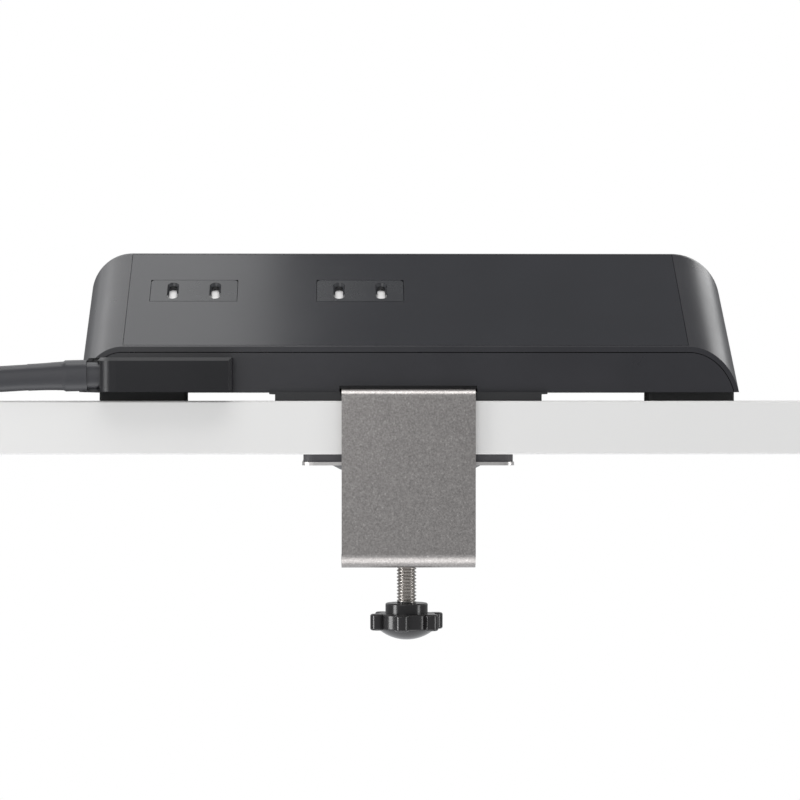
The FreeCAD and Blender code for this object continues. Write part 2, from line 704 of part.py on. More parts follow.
def cord():
    """The mains cord: its free stretch, its coil with a tie, its tail and its plug."""
    save("cord_run", tube("cord_run", cord_route(), cord_diameter / 2))
    half_across = coil_turns_across * coil_pitch / 2
    outer, inner = coil_middle_radius + half_across, coil_middle_radius - half_across
    top = coil_lift + cord_diameter + coil_layer
    ring = post(outer, coil_x, coil_y, coil_lift, top).cut(post(inner, coil_x, coil_y, coil_lift, top))
    save("cord_coil", ring)
    save("cord_tail", tube("cord_tail", tail_route(), cord_diameter / 2))
    strap = box(inner - tie_thickness, outer + tie_thickness, -tie_width / 2, tie_width / 2,
                coil_lift - tie_thickness, top + tie_thickness)
    strap = strap.cut(box(inner - 0.2, outer + 0.3, -tie_width / 2, tie_width / 2, coil_lift, top))
    strap.rotate(Vector(0, 0, 0), Z_AXIS, tie_angle)
    strap.translate(Vector(coil_x, coil_y, 0))
    save("cord_tie", strap)

    route = tail_route()
    end, heading = route[-1], (route[-1] - route[-2]).normalize()
    body = box(0, plug_length, -plug_width / 2, plug_width / 2, -plug_thickness / 2, plug_thickness / 2)
    neck_face = [e for e in upright_edges(body) if e.BoundBox.XMin < 0.01]
    body = body.makeChamfer(7.0, neck_face)
    blades, sleeves = [], []
    for side in (-1, 1):
        y = side * blade_spacing / 2
        blade = box(plug_length - sleeve_length, plug_length + blade_length, y - blade_metal / 2,
                    y + blade_metal / 2, -blade_width / 2, blade_width / 2)
        body = body.cut(blade)
        blades.append(blade)
    for shape in [body] + blades:
        shape.rotate(Vector(0, 0, 0), Z_AXIS, math.degrees(math.atan2(heading.y, heading.x)))
        shape.translate(end)
        sleeves.append(shape)
    save("plug_body", sleeves[0])
    save("plug_blades", Part.makeCompound(sleeves[1:]))


def leads():
    """The cores from the cord's end to the bars, and the links between the bars of the two faces."""
    start = cord_route()[0]
    bar_under = -block_depth - bus_metal
    for pole, slot in (("live", 1), ("neutral", -1)):
        landing_x = outlet_first_x + 26 + slot * 5
        landing = face_point("rear", outlet_up_rear + slot * bus_width, bar_under - lead_gap, landing_x)
        x = cover_left + cover_length - 6.5
        height = start.z + slot * 1.5
        lead = [
            Vector(start.x + 0.3, start.y, height),
            Vector(x, start.y + 1.5, height),
            Vector(x + 1 + slot, rear_y + 12, height + 1),
            Vector(landing.x, landing.y + 1, landing.z - 8),
            landing,
        ]
        save(pole + "_lead", tube(pole + "_lead", lead, lead_radius))
        link_x = outlet_first_x + 6 - slot * 4
        leave = face_point("rear", outlet_up_rear + slot * bus_width, bar_under - lead_gap, link_x)
        arrive = face_point("user", outlet_up_user + slot * bus_width, bar_under - lead_gap, link_x)
        middle = Vector(link_x + 4, (leave.y + arrive.y) / 2, min(leave.z, arrive.z) - 2)
        save(pole + "_link", tube(pole + "_link", [leave, middle, arrive], lead_radius))


def main():
    os.makedirs("parts", exist_ok=True)
    housing()
    feet()
    outlets()
    charger()
    cord_entry()
    clamp()
    clamp_screw(pressure_jaw())
    cord()
    leads()


main()
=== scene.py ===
# Desk power strip with a screw clamp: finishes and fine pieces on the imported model.
import math
import bmesh
import bpy
from mathutils import Matrix, Vector


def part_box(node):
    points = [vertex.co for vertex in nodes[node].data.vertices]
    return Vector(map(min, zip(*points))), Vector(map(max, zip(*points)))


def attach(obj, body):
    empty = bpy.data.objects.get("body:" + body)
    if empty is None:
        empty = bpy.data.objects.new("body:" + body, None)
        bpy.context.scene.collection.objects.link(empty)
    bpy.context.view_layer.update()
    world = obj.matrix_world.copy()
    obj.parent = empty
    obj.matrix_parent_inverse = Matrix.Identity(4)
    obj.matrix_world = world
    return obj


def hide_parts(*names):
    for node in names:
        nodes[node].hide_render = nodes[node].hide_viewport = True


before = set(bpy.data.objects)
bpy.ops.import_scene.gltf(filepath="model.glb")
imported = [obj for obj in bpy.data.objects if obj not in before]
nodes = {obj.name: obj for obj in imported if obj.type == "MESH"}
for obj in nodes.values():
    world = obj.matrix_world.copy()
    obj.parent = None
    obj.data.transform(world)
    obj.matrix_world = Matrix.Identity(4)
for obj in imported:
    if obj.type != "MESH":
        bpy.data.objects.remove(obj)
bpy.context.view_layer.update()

print("stage 1: model loaded,", len(nodes), "nodes")


def mm(*values):
    return Vector(values) / 1000.0


def linkObject(name, data):
    thing = bpy.data.objects.new(name, data)
    bpy.context.scene.collection.objects.link(thing)
    return thing


def meshPiece(name, bm, material, smooth=True):
    mesh = bpy.data.meshes.new(name)
    bm.to_mesh(mesh)
    bm.free()
    mesh.materials.append(material)
    for face in mesh.polygons:
        face.use_smooth = smooth
    return linkObject(name, mesh)


def softenEdges(piece, width, segments=2, angle=35.0):
    bevel = piece.modifiers.new("softEdges", "BEVEL")
    bevel.width = width
    bevel.segments = segments
    bevel.limit_method = "ANGLE"
    bevel.angle_limit = math.radians(angle)
    bevel.harden_normals = True


def toMetres(bm):
    bmesh.ops.scale(bm, verts=bm.verts[:], vec=(0.001, 0.001, 0.001))


def turnAll(bm, degrees, axis):
    bmesh.ops.rotate(bm, verts=bm.verts[:], matrix=Matrix.Rotation(math.radians(degrees), 3, axis))


def roundedFrame(bm, width, height, corner, segments):
    # the outline of a rectangle in the XY plane, with rounded corners
    ring = bmesh.ops.create_circle(bm, cap_ends=False, radius=math.sqrt(0.5), segments=4)["verts"]
    turnAll(bm, 45.0, "Z")
    bmesh.ops.scale(bm, verts=ring, vec=(width, height, 1.0))
    bmesh.ops.bevel(bm, geom=list(ring), offset=corner, offset_type="OFFSET", segments=segments,
                    profile=0.5, affect="VERTICES", material=-1)


cameraValues = {"place": (-0.02136, -0.88482, 0.00024), "yaw": -1.255, "lens": 132.7, "sensor": 36.0,
                "near": 0.02, "far": 20.0}


def makeCamera(v):
    data = bpy.data.cameras.new("viewCamera")
    data.lens = v["lens"]
    data.sensor_width = v["sensor"]
    data.clip_start = v["near"]
    data.clip_end = v["far"]
    camera = linkObject("viewCamera", data)
    camera.location = v["place"]
    camera.rotation_euler = (math.radians(90.0), 0.0, math.radians(v["yaw"]))
    bpy.context.scene.camera = camera


makeCamera(cameraValues)
print("stage 2: camera set")


def newGroup(name, inputs, outputs):
    tree = bpy.data.node_groups.new(name, "ShaderNodeTree")
    for label, kind, value in inputs:
        socket = tree.interface.new_socket(label, in_out="INPUT", socket_type=kind)
        if value is not None:
            socket.default_value = value
    for label, kind in outputs:
        tree.interface.new_socket(label, in_out="OUTPUT", socket_type=kind)
    return tree, tree.nodes.new("NodeGroupInput"), tree.nodes.new("NodeGroupOutput")


def addNode(tree, kind, **settings):
    node = tree.nodes.new(kind)
    for key, value in settings.items():
        setattr(node, key, value)
    return node


def makeGrainGroup():
    # fine moulded or blasted grain: a bump normal and a mask of the same grain
    tree, gin, gout = newGroup(
        "fineGrain",
        [("Vector", "NodeSocketVector", None), ("Scale", "NodeSocketFloat", 2500.0),
         ("Height", "NodeSocketFloat", 0.2)],
        [("Normal", "NodeSocketVector"), ("Mask", "NodeSocketFloat")])
    noise = addNode(tree, "ShaderNodeTexNoise")
    noise.inputs["Detail"].default_value = 3.0
    noise.inputs["Roughness"].default_value = 0.6
    bump = addNode(tree, "ShaderNodeBump")
    bump.inputs["Distance"].default_value = 0.0001
    link = tree.links.new
    link(gin.outputs["Vector"], noise.inputs["Vector"])
    link(gin.outputs["Scale"], noise.inputs["Scale"])
    link(gin.outputs["Height"], bump.inputs["Strength"])
    link(noise.outputs["Fac"], bump.inputs["Height"])
    link(bump.outputs["Normal"], gout.inputs["Normal"])
    link(noise.outputs["Fac"], gout.inputs["Mask"])
    return tree


def makeHandlingGroup():
    # broad, faint smears left by handling, as a value between Low and High
    tree, gin, gout = newGroup(
        "handlingMarks",
        [("Vector", "NodeSocketVector", None), ("Scale", "NodeSocketFloat", 40.0),
         ("Low", "NodeSocketFloat", 0.2), ("High", "NodeSocketFloat", 0.3)],
        [("Value", "NodeSocketFloat")])
    warp = addNode(tree, "ShaderNodeTexNoise")
    warp.inputs["Scale"].default_value = 18.0
    shift = addNode(tree, "ShaderNodeVectorMath", operation="SCALE")
    shift.inputs["Scale"].default_value = 0.02
    join = addNode(tree, "ShaderNodeVectorMath", operation="ADD")
    noise = addNode(tree, "ShaderNodeTexNoise")
    noise.inputs["Detail"].default_value = 5.0
    noise.inputs["Roughness"].default_value = 0.62
    ranged = addNode(tree, "ShaderNodeMapRange")
    ranged.inputs["From Min"].default_value = 0.32
    ranged.inputs["From Max"].default_value = 0.68
    link = tree.links.new
    link(gin.outputs["Vector"], warp.inputs["Vector"])
    link(warp.outputs["Color"], shift.inputs[0])
    link(gin.outputs["Vector"], join.inputs[0])
    link(shift.outputs["Vector"], join.inputs[1])
    link(join.outputs["Vector"], noise.inputs["Vector"])
    link(gin.outputs["Scale"], noise.inputs["Scale"])
    link(noise.outputs["Fac"], ranged.inputs["Value"])
    link(gin.outputs["Low"], ranged.inputs["To Min"])
    link(gin.outputs["High"], ranged.inputs["To Max"])
    link(ranged.outputs["Result"], gout.inputs["Value"])
    return tree


def makeToneGroup():
    # slow drift between two close colours, with specks of a third
    tree, gin, gout = newGroup(
        "toneDrift",
        [("Vector", "NodeSocketVector", None), ("Scale", "NodeSocketFloat", 60.0),
         ("Dark", "NodeSocketColor", (0.02, 0.02, 0.02, 1)),
         ("Light", "NodeSocketColor", (0.03, 0.03, 0.03, 1)),
         ("Speck", "NodeSocketColor", (0.2, 0.2, 0.2, 1)), ("Specks", "NodeSocketFloat", 0.1)],
        [("Color", "NodeSocketColor")])
    slow = addNode(tree, "ShaderNodeTexNoise")
    slow.inputs["Detail"].default_value = 4.0
    blend = addNode(tree, "ShaderNodeMix", data_type="RGBA")
    dots = addNode(tree, "ShaderNodeTexNoise")
    dots.inputs["Scale"].default_value = 1900.0
    dots.inputs["Detail"].default_value = 1.0
    cut = addNode(tree, "ShaderNodeMapRange")
    cut.inputs["From Min"].default_value = 0.68
    cut.inputs["From Max"].default_value = 0.80
    amount = addNode(tree, "ShaderNodeMath", operation="MULTIPLY")
    over = addNode(tree, "ShaderNodeMix", data_type="RGBA")
    link = tree.links.new
    link(gin.outputs["Vector"], slow.inputs["Vector"])
    link(gin.outputs["Scale"], slow.inputs["Scale"])
    link(gin.outputs["Vector"], dots.inputs["Vector"])
    link(slow.outputs["Fac"], blend.inputs["Factor"])
    link(gin.outputs["Dark"], blend.inputs["A"])
    link(gin.outputs["Light"], blend.inputs["B"])
    link(dots.outputs["Fac"], cut.inputs["Value"])
    link(cut.outputs["Result"], amount.inputs[0])
    link(gin.outputs["Specks"], amount.inputs[1])
    link(amount.outputs["Value"], over.inputs["Factor"])
    link(blend.outputs["Result"], over.inputs["A"])
    link(gin.outputs["Speck"], over.inputs["B"])
    link(over.outputs["Result"], gout.inputs["Color"])
    return tree


def makeLinesGroup():
    # drawn or rolled lines: noise stretched along one direction
    tree, gin, gout = newGroup(
        "drawnLines",
        [("Vector", "NodeSocketVector", None), ("Stretch", "NodeSocketVector", (1.0, 1.0, 1.0)),
         ("Scale", "NodeSocketFloat", 800.0), ("Height", "NodeSocketFloat", 0.2),
         ("Low", "NodeSocketFloat", 0.3), ("High", "NodeSocketFloat", 0.4)],
        [("Normal", "NodeSocketVector"), ("Value", "NodeSocketFloat")])
    pull = addNode(tree, "ShaderNodeVectorMath", operation="MULTIPLY")
    noise = addNode(tree, "ShaderNodeTexNoise")
    noise.inputs["Detail"].default_value = 4.0
    noise.inputs["Roughness"].default_value = 0.65
    bump = addNode(tree, "ShaderNodeBump")
    bump.inputs["Distance"].default_value = 0.0001
    ranged = addNode(tree, "ShaderNodeMapRange")
    ranged.inputs["From Min"].default_value = 0.3
    ranged.inputs["From Max"].default_value = 0.7
    link = tree.links.new
    link(gin.outputs["Vector"], pull.inputs[0])
    link(gin.outputs["Stretch"], pull.inputs[1])
    link(pull.outputs["Vector"], noise.inputs["Vector"])
    link(gin.outputs["Scale"], noise.inputs["Scale"])
    link(noise.outputs["Fac"], bump.inputs["Height"])
    link(gin.outputs["Height"], bump.inputs["Strength"])
    link(noise.outputs["Fac"], ranged.inputs["Value"])
    link(gin.outputs["Low"], ranged.inputs["To Min"])
    link(gin.outputs["High"], ranged.inputs["To Max"])
    link(bump.outputs["Normal"], gout.inputs["Normal"])
    link(ranged.outputs["Result"], gout.inputs["Value"])
    return tree


groups = {"grain": makeGrainGroup(), "handling": makeHandlingGroup(), "tone": makeToneGroup(),
          "lines": makeLinesGroup()}


def useGroup(tree, key, **values):
    node = tree.nodes.new("ShaderNodeGroup")
    node.node_tree = groups[key]
    for label, value in values.items():
        node.inputs[label].default_value = value
    return node


def rgba(colour, factor=1.0):
    return tuple(c * factor for c in colour) + (1.0,)


def startMaterial(name):
    material = bpy.data.materials.new(name)
    material.use_nodes = True
    tree = material.node_tree
    tree.nodes.clear()
    shader = tree.nodes.new("ShaderNodeBsdfPrincipled")
    out = tree.nodes.new("ShaderNodeOutputMaterial")
    place = tree.nodes.new("ShaderNodeTexCoord")
    tree.links.new(shader.outputs["BSDF"], out.inputs["Surface"])
    return material, tree, shader, place.outputs["Object"]


def plasticFinish(name, colour, rough=(0.2, 0.3), grain=2500.0, height=0.05, specks=0.03, coat=0.0,
                  coatRough=0.05, drift=(0.85, 1.15), ior=1.5, handling=45.0, speck=None):
    material, tree, shader, place = startMaterial(name)
    link = tree.links.new
    tone = useGroup(tree, "tone", Scale=55.0, Dark=rgba(colour, drift[0]), Light=rgba(colour, drift[1]),
                    Speck=rgba(speck or tuple(c * 2.2 + 0.01 for c in colour)), Specks=specks)
    marks = useGroup(tree, "handling", Scale=handling, Low=rough[0], High=rough[1])
    grained = useGroup(tree, "grain", Scale=grain, Height=height)
    for node in (tone, marks, grained):
        link(place, node.inputs["Vector"])
    link(tone.outputs["Color"], shader.inputs["Base Color"])
    link(marks.outputs["Value"], shader.inputs["Roughness"])
    link(grained.outputs["Normal"], shader.inputs["Normal"])
    shader.inputs["IOR"].default_value = ior
    shader.inputs["Coat Weight"].default_value = coat
    shader.inputs["Coat Roughness"].default_value = coatRough
    return material


def metalFinish(name, colour, rough=(0.25, 0.35), stretch=(1.0, 1.0, 1.0), scale=900.0, height=0.12,
                specks=0.25, drift=(0.9, 1.1), speck=None, mottle=900.0):
    material, tree, shader, place = startMaterial(name)
    link = tree.links.new
    tone = useGroup(tree, "tone", Scale=mottle, Dark=rgba(colour, drift[0]), Light=rgba(colour, drift[1]),
                    Speck=rgba(speck or tuple(min(1.0, c * 1.5) for c in colour)), Specks=specks)
    lines = useGroup(tree, "lines", Stretch=stretch, Scale=scale, Height=height, Low=rough[0], High=rough[1])
    for node in (tone, lines):
        link(place, node.inputs["Vector"])
    link(tone.outputs["Color"], shader.inputs["Base Color"])
    link(lines.outputs["Value"], shader.inputs["Roughness"])
    link(lines.outputs["Normal"], shader.inputs["Normal"])
    shader.inputs["Metallic"].default_value = 1.0
    return material


finishes = {
    "housing": plasticFinish("satinHousing", (0.019, 0.0188, 0.022), rough=(0.27, 0.34), grain=3200.0,
                             height=0.10, specks=0.02),
    "cover": plasticFinish("coverMoulding", (0.006, 0.006, 0.0075), rough=(0.30, 0.36), grain=3200.0,
                           height=0.12, specks=0.02, ior=1.36),
    "panel": plasticFinish("glossPanel", (0.014, 0.0145, 0.018), rough=(0.19, 0.23), grain=900.0, height=0.008,
                           specks=0.0, handling=22.0),
    "insert": plasticFinish("outletFace", (0.019, 0.020, 0.023), rough=(0.24, 0.30), grain=3000.0, height=0.08),
    # slot lead-in lips: same plastic as the outlet face but coloured lighter, a painted sheen standing in for
    # the glints at the slot tops
    "funnelPaintedSheen": plasticFinish("slotFunnelPaintedSheen", (0.045, 0.046, 0.050), rough=(0.10, 0.14), specks=0.0, height=0.01),
    "shutter": plasticFinish("paleShutter", (0.93, 0.92, 0.91), rough=(0.35, 0.45), grain=2600.0, height=0.1,
                             specks=0.0, speck=(0.8, 0.8, 0.8)),
    "inner": plasticFinish("innerMoulding", (0.018, 0.018, 0.019), rough=(0.42, 0.52), grain=2200.0,
                           height=0.15),
    "rubber": plasticFinish("footRubber", (0.026, 0.027, 0.027), rough=(0.55, 0.68), grain=2600.0, height=0.3,
                            specks=0.12, ior=1.45),
    "padRubber": plasticFinish("padRubber", (0.060, 0.058, 0.062), rough=(0.5, 0.62), grain=2200.0, height=0.35,
                               specks=0.15, ior=1.45),
    "clamp": plasticFinish("clampMoulding", (0.014, 0.014, 0.015), rough=(0.33, 0.42), grain=2600.0,
                           height=0.15),
    "knob": plasticFinish("knobMoulding", (0.020, 0.019, 0.020), rough=(0.16, 0.24), grain=1500.0,
                          height=0.05, specks=0.02),
    "port": plasticFinish("portTongue", (0.85, 0.86, 0.88), rough=(0.35, 0.42), specks=0.0),
    "board": plasticFinish("boardResist", (0.018, 0.10, 0.045), rough=(0.3, 0.4), grain=1500.0, height=0.1),
    "innerParts": plasticFinish("boardParts", (0.05, 0.048, 0.035), rough=(0.35, 0.5)),
    "vinyl": plasticFinish("cordVinyl", (0.028, 0.028, 0.032), rough=(0.33, 0.41), grain=2400.0, height=0.12,
                           specks=0.03, handling=60.0),
    "plug": plasticFinish("plugVinyl", (0.045, 0.045, 0.050), rough=(0.36, 0.44), grain=2600.0, height=0.2,
                          specks=0.03),
    "leadDark": plasticFinish("leadDark", (0.02, 0.02, 0.02), rough=(0.35, 0.42)),
    "leadPale": plasticFinish("leadPale", (0.7, 0.7, 0.69), rough=(0.35, 0.42)),
    "bracket": metalFinish("satinBracket", (0.35, 0.332, 0.322), rough=(0.30, 0.40), stretch=(1.0, 1.0, 0.55),
                           scale=1500.0, height=0.5, specks=0.5, drift=(0.50, 1.50), mottle=1900.0,
                           speck=(0.62, 0.60, 0.58)),
    "zinc": metalFinish("zincPlate", (0.46, 0.44, 0.42), rough=(0.22, 0.34), stretch=(1.0, 1.0, 3.0),
                        scale=700.0, height=0.15),
    "plate": metalFinish("pressurePlate", (0.62, 0.60, 0.59), rough=(0.28, 0.4), stretch=(0.4, 1.0, 1.0),
                         scale=600.0, height=0.15),
    "spring": metalFinish("springWire", (0.65, 0.65, 0.64), rough=(0.15, 0.25)),
    "brass": metalFinish("contactBrass", (0.78, 0.58, 0.26), rough=(0.22, 0.34)),
    "nickel": metalFinish("nickelBlade", (0.70, 0.69, 0.66), rough=(0.14, 0.24), stretch=(1.0, 0.15, 1.0),
                          scale=500.0, height=0.08),
    "gilt": metalFinish("giltContact", (0.86, 0.62, 0.26), rough=(0.16, 0.26)),
    "portSteel": metalFinish("portSteel", (0.68, 0.68, 0.68), rough=(0.18, 0.28), stretch=(0.3, 1.0, 1.0)),
}


def tieFinish():
    # hook-and-loop tape: short crossed threads over a woven ground
    material, tree, shader, place = startMaterial("tieTape")
    link = tree.links.new
    tone = useGroup(tree, "tone", Scale=420.0, Dark=rgba((0.010, 0.010, 0.011)),
                    Light=rgba((0.035, 0.035, 0.038)), Speck=rgba((0.10, 0.10, 0.11)), Specks=0.6)
    wave = addNode(tree, "ShaderNodeTexVoronoi", feature="F1")
    wave.inputs["Scale"].default_value = 1700.0
    bump = addNode(tree, "ShaderNodeBump")
    bump.inputs["Strength"].default_value = 0.8
    bump.inputs["Distance"].default_value = 0.0003
    marks = useGroup(tree, "handling", Scale=200.0, Low=0.75, High=0.9)
    for node in (tone, marks, wave):
        link(place, node.inputs["Vector"])
    link(wave.outputs["Distance"], bump.inputs["Height"])
    link(bump.outputs["Normal"], shader.inputs["Normal"])
    link(tone.outputs["Color"], shader.inputs["Base Color"])
    link(marks.outputs["Value"], shader.inputs["Roughness"])
    shader.inputs["Sheen Weight"].default_value = 0.3
    return material


finishes["tie"] = tieFinish()

finishOfNode = {
    "housing": ["top_shell", "base_housing"],
    "cover": ["cord_entry_cover"],
    "panel": ["rear_panel", "user_panel"],
    "insert": ["outlet_face_rear_left", "outlet_face_rear_right", "outlet_face_user_left",
               "outlet_face_user_right"],
    "shutter": ["shutter_rear_left", "shutter_rear_right", "shutter_user_left", "shutter_user_right"],
    "spring": ["shutter_spring_rear_left", "shutter_spring_rear_right", "shutter_spring_user_left",
               "shutter_spring_user_right"],
    "inner": ["contact_block_rear_left", "contact_block_rear_right", "contact_block_user_left",
              "contact_block_user_right", "cord_grommet"],
    "brass": ["live_bus_rear", "neutral_bus_rear", "live_bus_user", "neutral_bus_user"],
    "rubber": ["foot_rear_left", "foot_rear_right", "foot_user_left", "foot_user_right"],
    "zinc": ["shell_screws", "bracket_screws", "clinch_nut", "retaining_ring", "clamp_screw"],
    "bracket": ["clamp_bracket"],
    "clamp": ["clamp_seat_plate", "swivel_dome"],
    "padRubber": ["pressure_pad"],
    "plate": ["pressure_plate"],
    "knob": ["clamp_knob"],
    "portSteel": ["usb_shell_a", "usb_shell_b"],
    "port": ["usb_tongue_a", "usb_tongue_b"],
    "board": ["usb_board"],
    "innerParts": ["usb_transformer", "usb_capacitors"],
    "vinyl": ["cord_run", "cord_coil", "cord_tail"],
    "tie": ["cord_tie"],
    "plug": ["plug_body"],
    "nickel": ["plug_blades"],
    "leadDark": ["live_lead", "live_link"],
    "leadPale": ["neutral_lead", "neutral_link"],
}
for key, names in finishOfNode.items():
    for name in names:
        for holder in nodes[name].material_slots:
            holder.material = finishes[key]
print("stage 3: finishes on", sum(len(v) for v in finishOfNode.values()), "nodes")


cordValues = {
    "run": [(-70.0, -23.7, 7.4), (-97.0, -23.7, 7.7), (-125.0, -23.5, 5.9), (-157.0, -22.5, 5.0)],
    "tail": [(-194.5, -21.7, 12.4), (-220.0, -9.6, 18.3), (-234.9, 17.1, 24.2), (-232.9, 45.1, 24.2)],
    "coilCentre": (-188.0, 31.4), "outerRadius": 53.39, "pitch": 5.33, "turns": 6.02,
    "layerTurns": 3.0, "lowZ": 4.6, "highZ": 12.4, "pointsPerTurn": 24,
    "climbFrom": 2.8, "climbTo": 3.2,
    "height": 7.6, "width": 5.1,
    "exit": (-90.8, -23.7, 7.6), "length": 1.92,
}


def coilPoints(v):
    # bottom layer winds in, climbs at the inner turn, and the top layer winds out
    points = []
    count = int(v["turns"] * v["pointsPerTurn"])
    for step in range(count + 1):
        turn = step / v["pointsPerTurn"]
        angle = math.radians(-90.0 - 360.0 * turn)
        inward = turn if turn < v["layerTurns"] else 2 * v["layerTurns"] - turn
        radius = v["outerRadius"] - v["pitch"] * inward
        climb = min(1.0, max(0.0, (turn - v["climbFrom"]) / (v["climbTo"] - v["climbFrom"])))
        climb = climb * climb * (3.0 - 2.0 * climb)
        height = v["lowZ"] + (v["highZ"] - v["lowZ"]) * climb
        points.append((v["coilCentre"][0] + radius * math.cos(angle),
                       v["coilCentre"][1] + radius * math.sin(angle), height))
    return points


def newRoute(name, kind, places):
    curve = bpy.data.curves.new(name, "CURVE")
    curve.dimensions = "3D"
    curve.twist_mode = "Z_UP"
    spline = curve.splines.new(kind)
    spline.points.add(len(places) - 1)
    for knot, place in zip(spline.points, places):
        knot.co = (*place, 1.0)
    return linkObject(name, curve), spline


def readLine(curveObject):
    graph = bpy.context.evaluated_depsgraph_get()
    mesh = bpy.data.meshes.new_from_object(curveObject.evaluated_get(graph))
    line = [vertex.co.copy() for vertex in mesh.vertices]
    bpy.data.meshes.remove(mesh)
    return line


sectionValues = {"side": 0.80, "end": 0.62, "resolution": 7}   # how full the flat section's curves are


def flatProfile(name, width, height):
    # rounded flat section, closed, from four curve points
    curve = bpy.data.curves.new(name, "CURVE")
    curve.dimensions = "2D"
    curve.fill_mode = "NONE"
    spline = curve.splines.new("BEZIER")
    spline.bezier_points.add(3)
    a, b = width / 2000.0, height / 2000.0
    side, end = sectionValues["side"] * b, sectionValues["end"] * a
    corners = [((a, 0), (0, side)), ((0, b), (-end, 0)), ((-a, 0), (0, -side)), ((0, -b), (end, 0))]
    for point, (place, handle) in zip(spline.bezier_points, corners):
        point.handle_left_type = point.handle_right_type = "FREE"
        point.co = (place[0], place[1], 0.0)
        point.handle_right = (place[0] + handle[0], place[1] + handle[1], 0.0)
        point.handle_left = (place[0] - handle[0], place[1] - handle[1], 0.0)
    spline.use_cyclic_u = True
    spline.resolution_u = sectionValues["resolution"]
    return linkObject(name, curve)


def sweptPiece(name, curveObject, profile, material):
    curveObject.data.bevel_mode = "OBJECT"
    curveObject.data.bevel_object = profile
    curveObject.data.use_fill_caps = True
    graph = bpy.context.evaluated_depsgraph_get()
    mesh = bpy.data.meshes.new_from_object(curveObject.evaluated_get(graph))
    mesh.name = name
    mesh.materials.clear()
    mesh.materials.append(material)
    for face in mesh.polygons:
        face.use_smooth = True
    return linkObject(name, mesh)


def makeCord(v):
    points = v["run"] + coilPoints(v) + v["tail"][1:]
    route, spline = newRoute("cordRoute", "NURBS", [mm(*place) for place in points])
    spline.order_u = 3
    spline.use_endpoint_u = True
    spline.resolution_u = 4
    line = readLine(route)
    profile = flatProfile("cordSection", v["width"], v["height"])
    piece = sweptPiece("mainsCord", route, profile, finishes["vinyl"])
    for helper in (route, profile):
        bpy.data.objects.remove(helper)
    return piece, line


cordPiece, cordLine = makeCord(cordValues)
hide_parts("cord_run", "cord_coil", "cord_tail")
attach(cordPiece, "strip")
print("stage 4: cord swept,", len(cordLine), "points on its line")


def stretchOfLine(line, fromEnd, start, stop):
    # points of the cord's line between two distances from one of its ends
    ordered = list(reversed(line)) if fromEnd else list(line)
    kept, walked = [], 0.0
    for before, after in zip(ordered, ordered[1:]):
        if start <= walked <= stop:
            kept.append(before)
        walked += (after - before).length
    return kept


sleeveValues = {
    "entry": {"start": 13.0, "stop": 42.0, "big": 1.20, "small": 1.03, "taper": 2, "collar": 10.5,
              "step": 0.08},
    "plug": {"start": 0.0, "stop": 24.0, "big": 1.62, "small": 1.12, "taper": 1.4, "ribs": 6,
             "ribHeight": 0.07, "wider": 1.1, "flatter": 0.92},
    "finest": 0.0006,
}


def sleevePiece(name, line, fromEnd, v, sizeAt, material, width, height):
    # a tapered sleeve that follows the cord; sizeAt gives its size against the cord's from 0 to 1 along it
    points = stretchOfLine(line, fromEnd, v["start"] / 1000.0, v["stop"] / 1000.0)
    dense = []
    for before, after in zip(points, points[1:]):
        pieces = max(1, int((after - before).length / sleeveValues["finest"]))
        dense += [before.lerp(after, k / pieces) for k in range(pieces)]
    dense.append(points[-1])
    route, spline = newRoute(name + "Route", "POLY", dense)
    for index, knot in enumerate(spline.points):
        knot.radius = sizeAt(v, index / (len(dense) - 1))
    profile = flatProfile(name + "Section", width, height)
    piece = sweptPiece(name, route, profile, material)
    for helper in (route, profile):
        bpy.data.objects.remove(helper)
    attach(piece, "strip")
    return piece


def entrySize(v, t):
    edge = v["collar"] / (v["stop"] - v["start"])
    if t < edge:
        return v["big"]
    s = (t - edge) / (1.0 - edge)
    return v["small"] + (v["big"] - v["step"] - v["small"]) * (1.0 - s) ** v["taper"]


def plugSize(v, t):
    ring = v["ribHeight"] * (0.5 + 0.5 * math.cos(2 * math.pi * v["ribs"] * t))
    return v["small"] + (v["big"] - v["small"]) * (1.0 - t) ** v["taper"] + ring


entryRelief = sleevePiece("entryRelief", cordLine, False, sleeveValues["entry"], entrySize,
                          finishes["vinyl"], cordValues["width"], cordValues["height"])
plugRelief = sleevePiece("plugRelief", cordLine, True, sleeveValues["plug"], plugSize, finishes["plug"],
                         cordValues["width"] * sleeveValues["plug"]["wider"],
                         cordValues["height"] * sleeveValues["plug"]["flatter"])


plugValues = {
    "corner": 2.6, "edge": 0.0006, "sections": [  # distance from the neck, width, thickness, in mm
        (0.0, 11.2, 10.4), (0.8, 12.4, 11.4), (4.0, 15.6, 12.4), (7.6, 22.4, 14.4), (9.6, 24.6, 15.8),
        (12.0, 25.0, 16.0), (13.0, 24.0, 15.2), (14.0, 25.0, 16.0), (15.6, 24.0, 15.2), (16.6, 25.0, 16.0),
        (18.2, 24.0, 15.2), (19.2, 25.0, 16.0), (20.8, 24.0, 15.2), (22.0, 25.0, 16.0), (31.2, 25.0, 16.0),
        (32.0, 23.6, 14.6)],
}


def loftSections(bm, corner, sections):
    # one rounded section, extruded along X from station to station and resized at each
    before = sections[0]
    roundedFrame(bm, before[1], before[2], corner, 4)
    turnAll(bm, 90.0, "X")
    turnAll(bm, 90.0, "Z")
    edges = bm.edges[:]
    bmesh.ops.contextual_create(bm, geom=edges)
    for station in sections[1:]:
        made = bmesh.ops.extrude_edge_only(bm, edges=edges)["geom"]
        edges = [g for g in made if isinstance(g, bmesh.types.BMEdge) and g.is_boundary]
        verts = list({vert for edge in edges for vert in edge.verts})
        bmesh.ops.translate(bm, verts=verts, vec=(station[0] - before[0], 0.0, 0.0))
        bmesh.ops.scale(bm, verts=verts, vec=(1.0, station[1] / before[1], station[2] / before[2]))
        before = station
    bmesh.ops.contextual_create(bm, geom=edges)
    bmesh.ops.recalc_face_normals(bm, faces=bm.faces[:])


